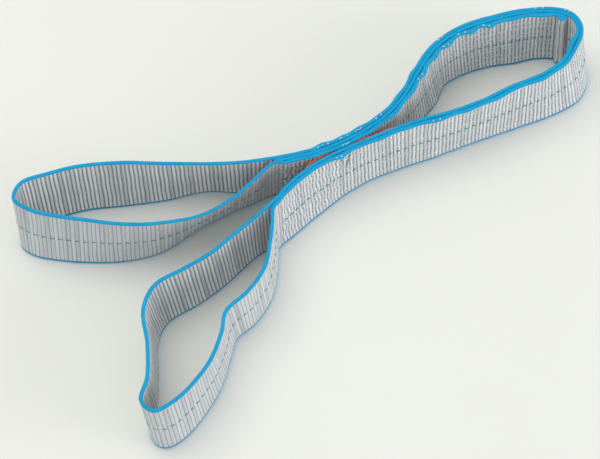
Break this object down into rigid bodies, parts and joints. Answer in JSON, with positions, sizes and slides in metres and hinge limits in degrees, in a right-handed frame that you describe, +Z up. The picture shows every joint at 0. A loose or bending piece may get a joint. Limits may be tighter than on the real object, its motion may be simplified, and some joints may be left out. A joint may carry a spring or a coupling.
{
  "type": "flat web sling",
  "caption": "Flat two-ply webbing sling with an eye at each end, folded in half and standing on edge, with sewn throats, a lapped splice and a blank label.",
  "frame": {"origin": "middle of the folded sling's footprint, on the surface it stands on", "axes": "+X along the folded sling towards its fold, +Y across it towards arm A's side, +Z up along the width of the webbing"},
  "size_m": [0.437, 0.3553, 0.05],
  "materials": {
    "webbing": "woven, slight sheen",
    "selvedge": "woven, slight sheen",
    "marker_yarn": "woven",
    "thread": "twisted thread",
    "label": "satin"
  },
  "bodies": {
    "bight": {"bight_outer_ply": "webbing", "bight_inner_ply": "webbing", "bight_lap_ply": "webbing", "lap_end_turn": "webbing", "bight_marker_yarn": "marker_yarn", "bight_thread_rows": "thread", "lap_end_stitches": "thread"},
    "arm_a": {"arm_a_outer_ply": "webbing", "arm_a_middle_ply": "webbing", "arm_a_inner_ply": "webbing", "arm_a_marker_yarn": "marker_yarn", "arm_a_thread_rows": "thread", "throat_a_stitch_pack": "thread"},
    "arm_b": {"arm_b_outer_ply": "webbing", "arm_b_inner_ply": "webbing", "arm_b_marker_yarn": "marker_yarn", "arm_b_thread_rows": "thread", "throat_b_stitch_pack": "thread", "label_tab_sewn": "label", "label_stitches": "thread"},
    "eye_a": {"eye_a_ply": "webbing", "eye_a_marker_yarn": "marker_yarn"},
    "eye_b": {"eye_b_ply": "webbing", "eye_b_marker_yarn": "marker_yarn"},
    "label": {"label_flap": "label"}
  },
  "joints": [
    {"name": "arm_a_bend", "type": "hinge", "parent": "bight", "child": "arm_a", "pos_m": [0.09037, 0.12962, 0.025], "axis": [0, 0, 1], "range_deg": [-45, 0]},
    {"name": "arm_b_bend", "type": "hinge", "parent": "bight", "child": "arm_b", "pos_m": [0.1306, 0.09121, 0.025], "axis": [0, 0, 1], "range_deg": [0, 45]},
    {"name": "eye_a_bend", "type": "hinge", "parent": "arm_a", "child": "eye_a", "pos_m": [-0.02921, 0.04142, 0.025], "axis": [0, 0, 1], "range_deg": [-50, 12]},
    {"name": "eye_b_bend", "type": "hinge", "parent": "arm_b", "child": "eye_b", "pos_m": [-0.02269, -0.00115, 0.025], "axis": [0, 0, 1], "range_deg": [-12, 55]},
    {"name": "label_bend", "type": "hinge", "parent": "arm_b", "child": "label", "pos_m": [0.04589, 0.0581, 0.025], "axis": [0, 0, 1], "range_deg": [-3, 3]}
  ]
}
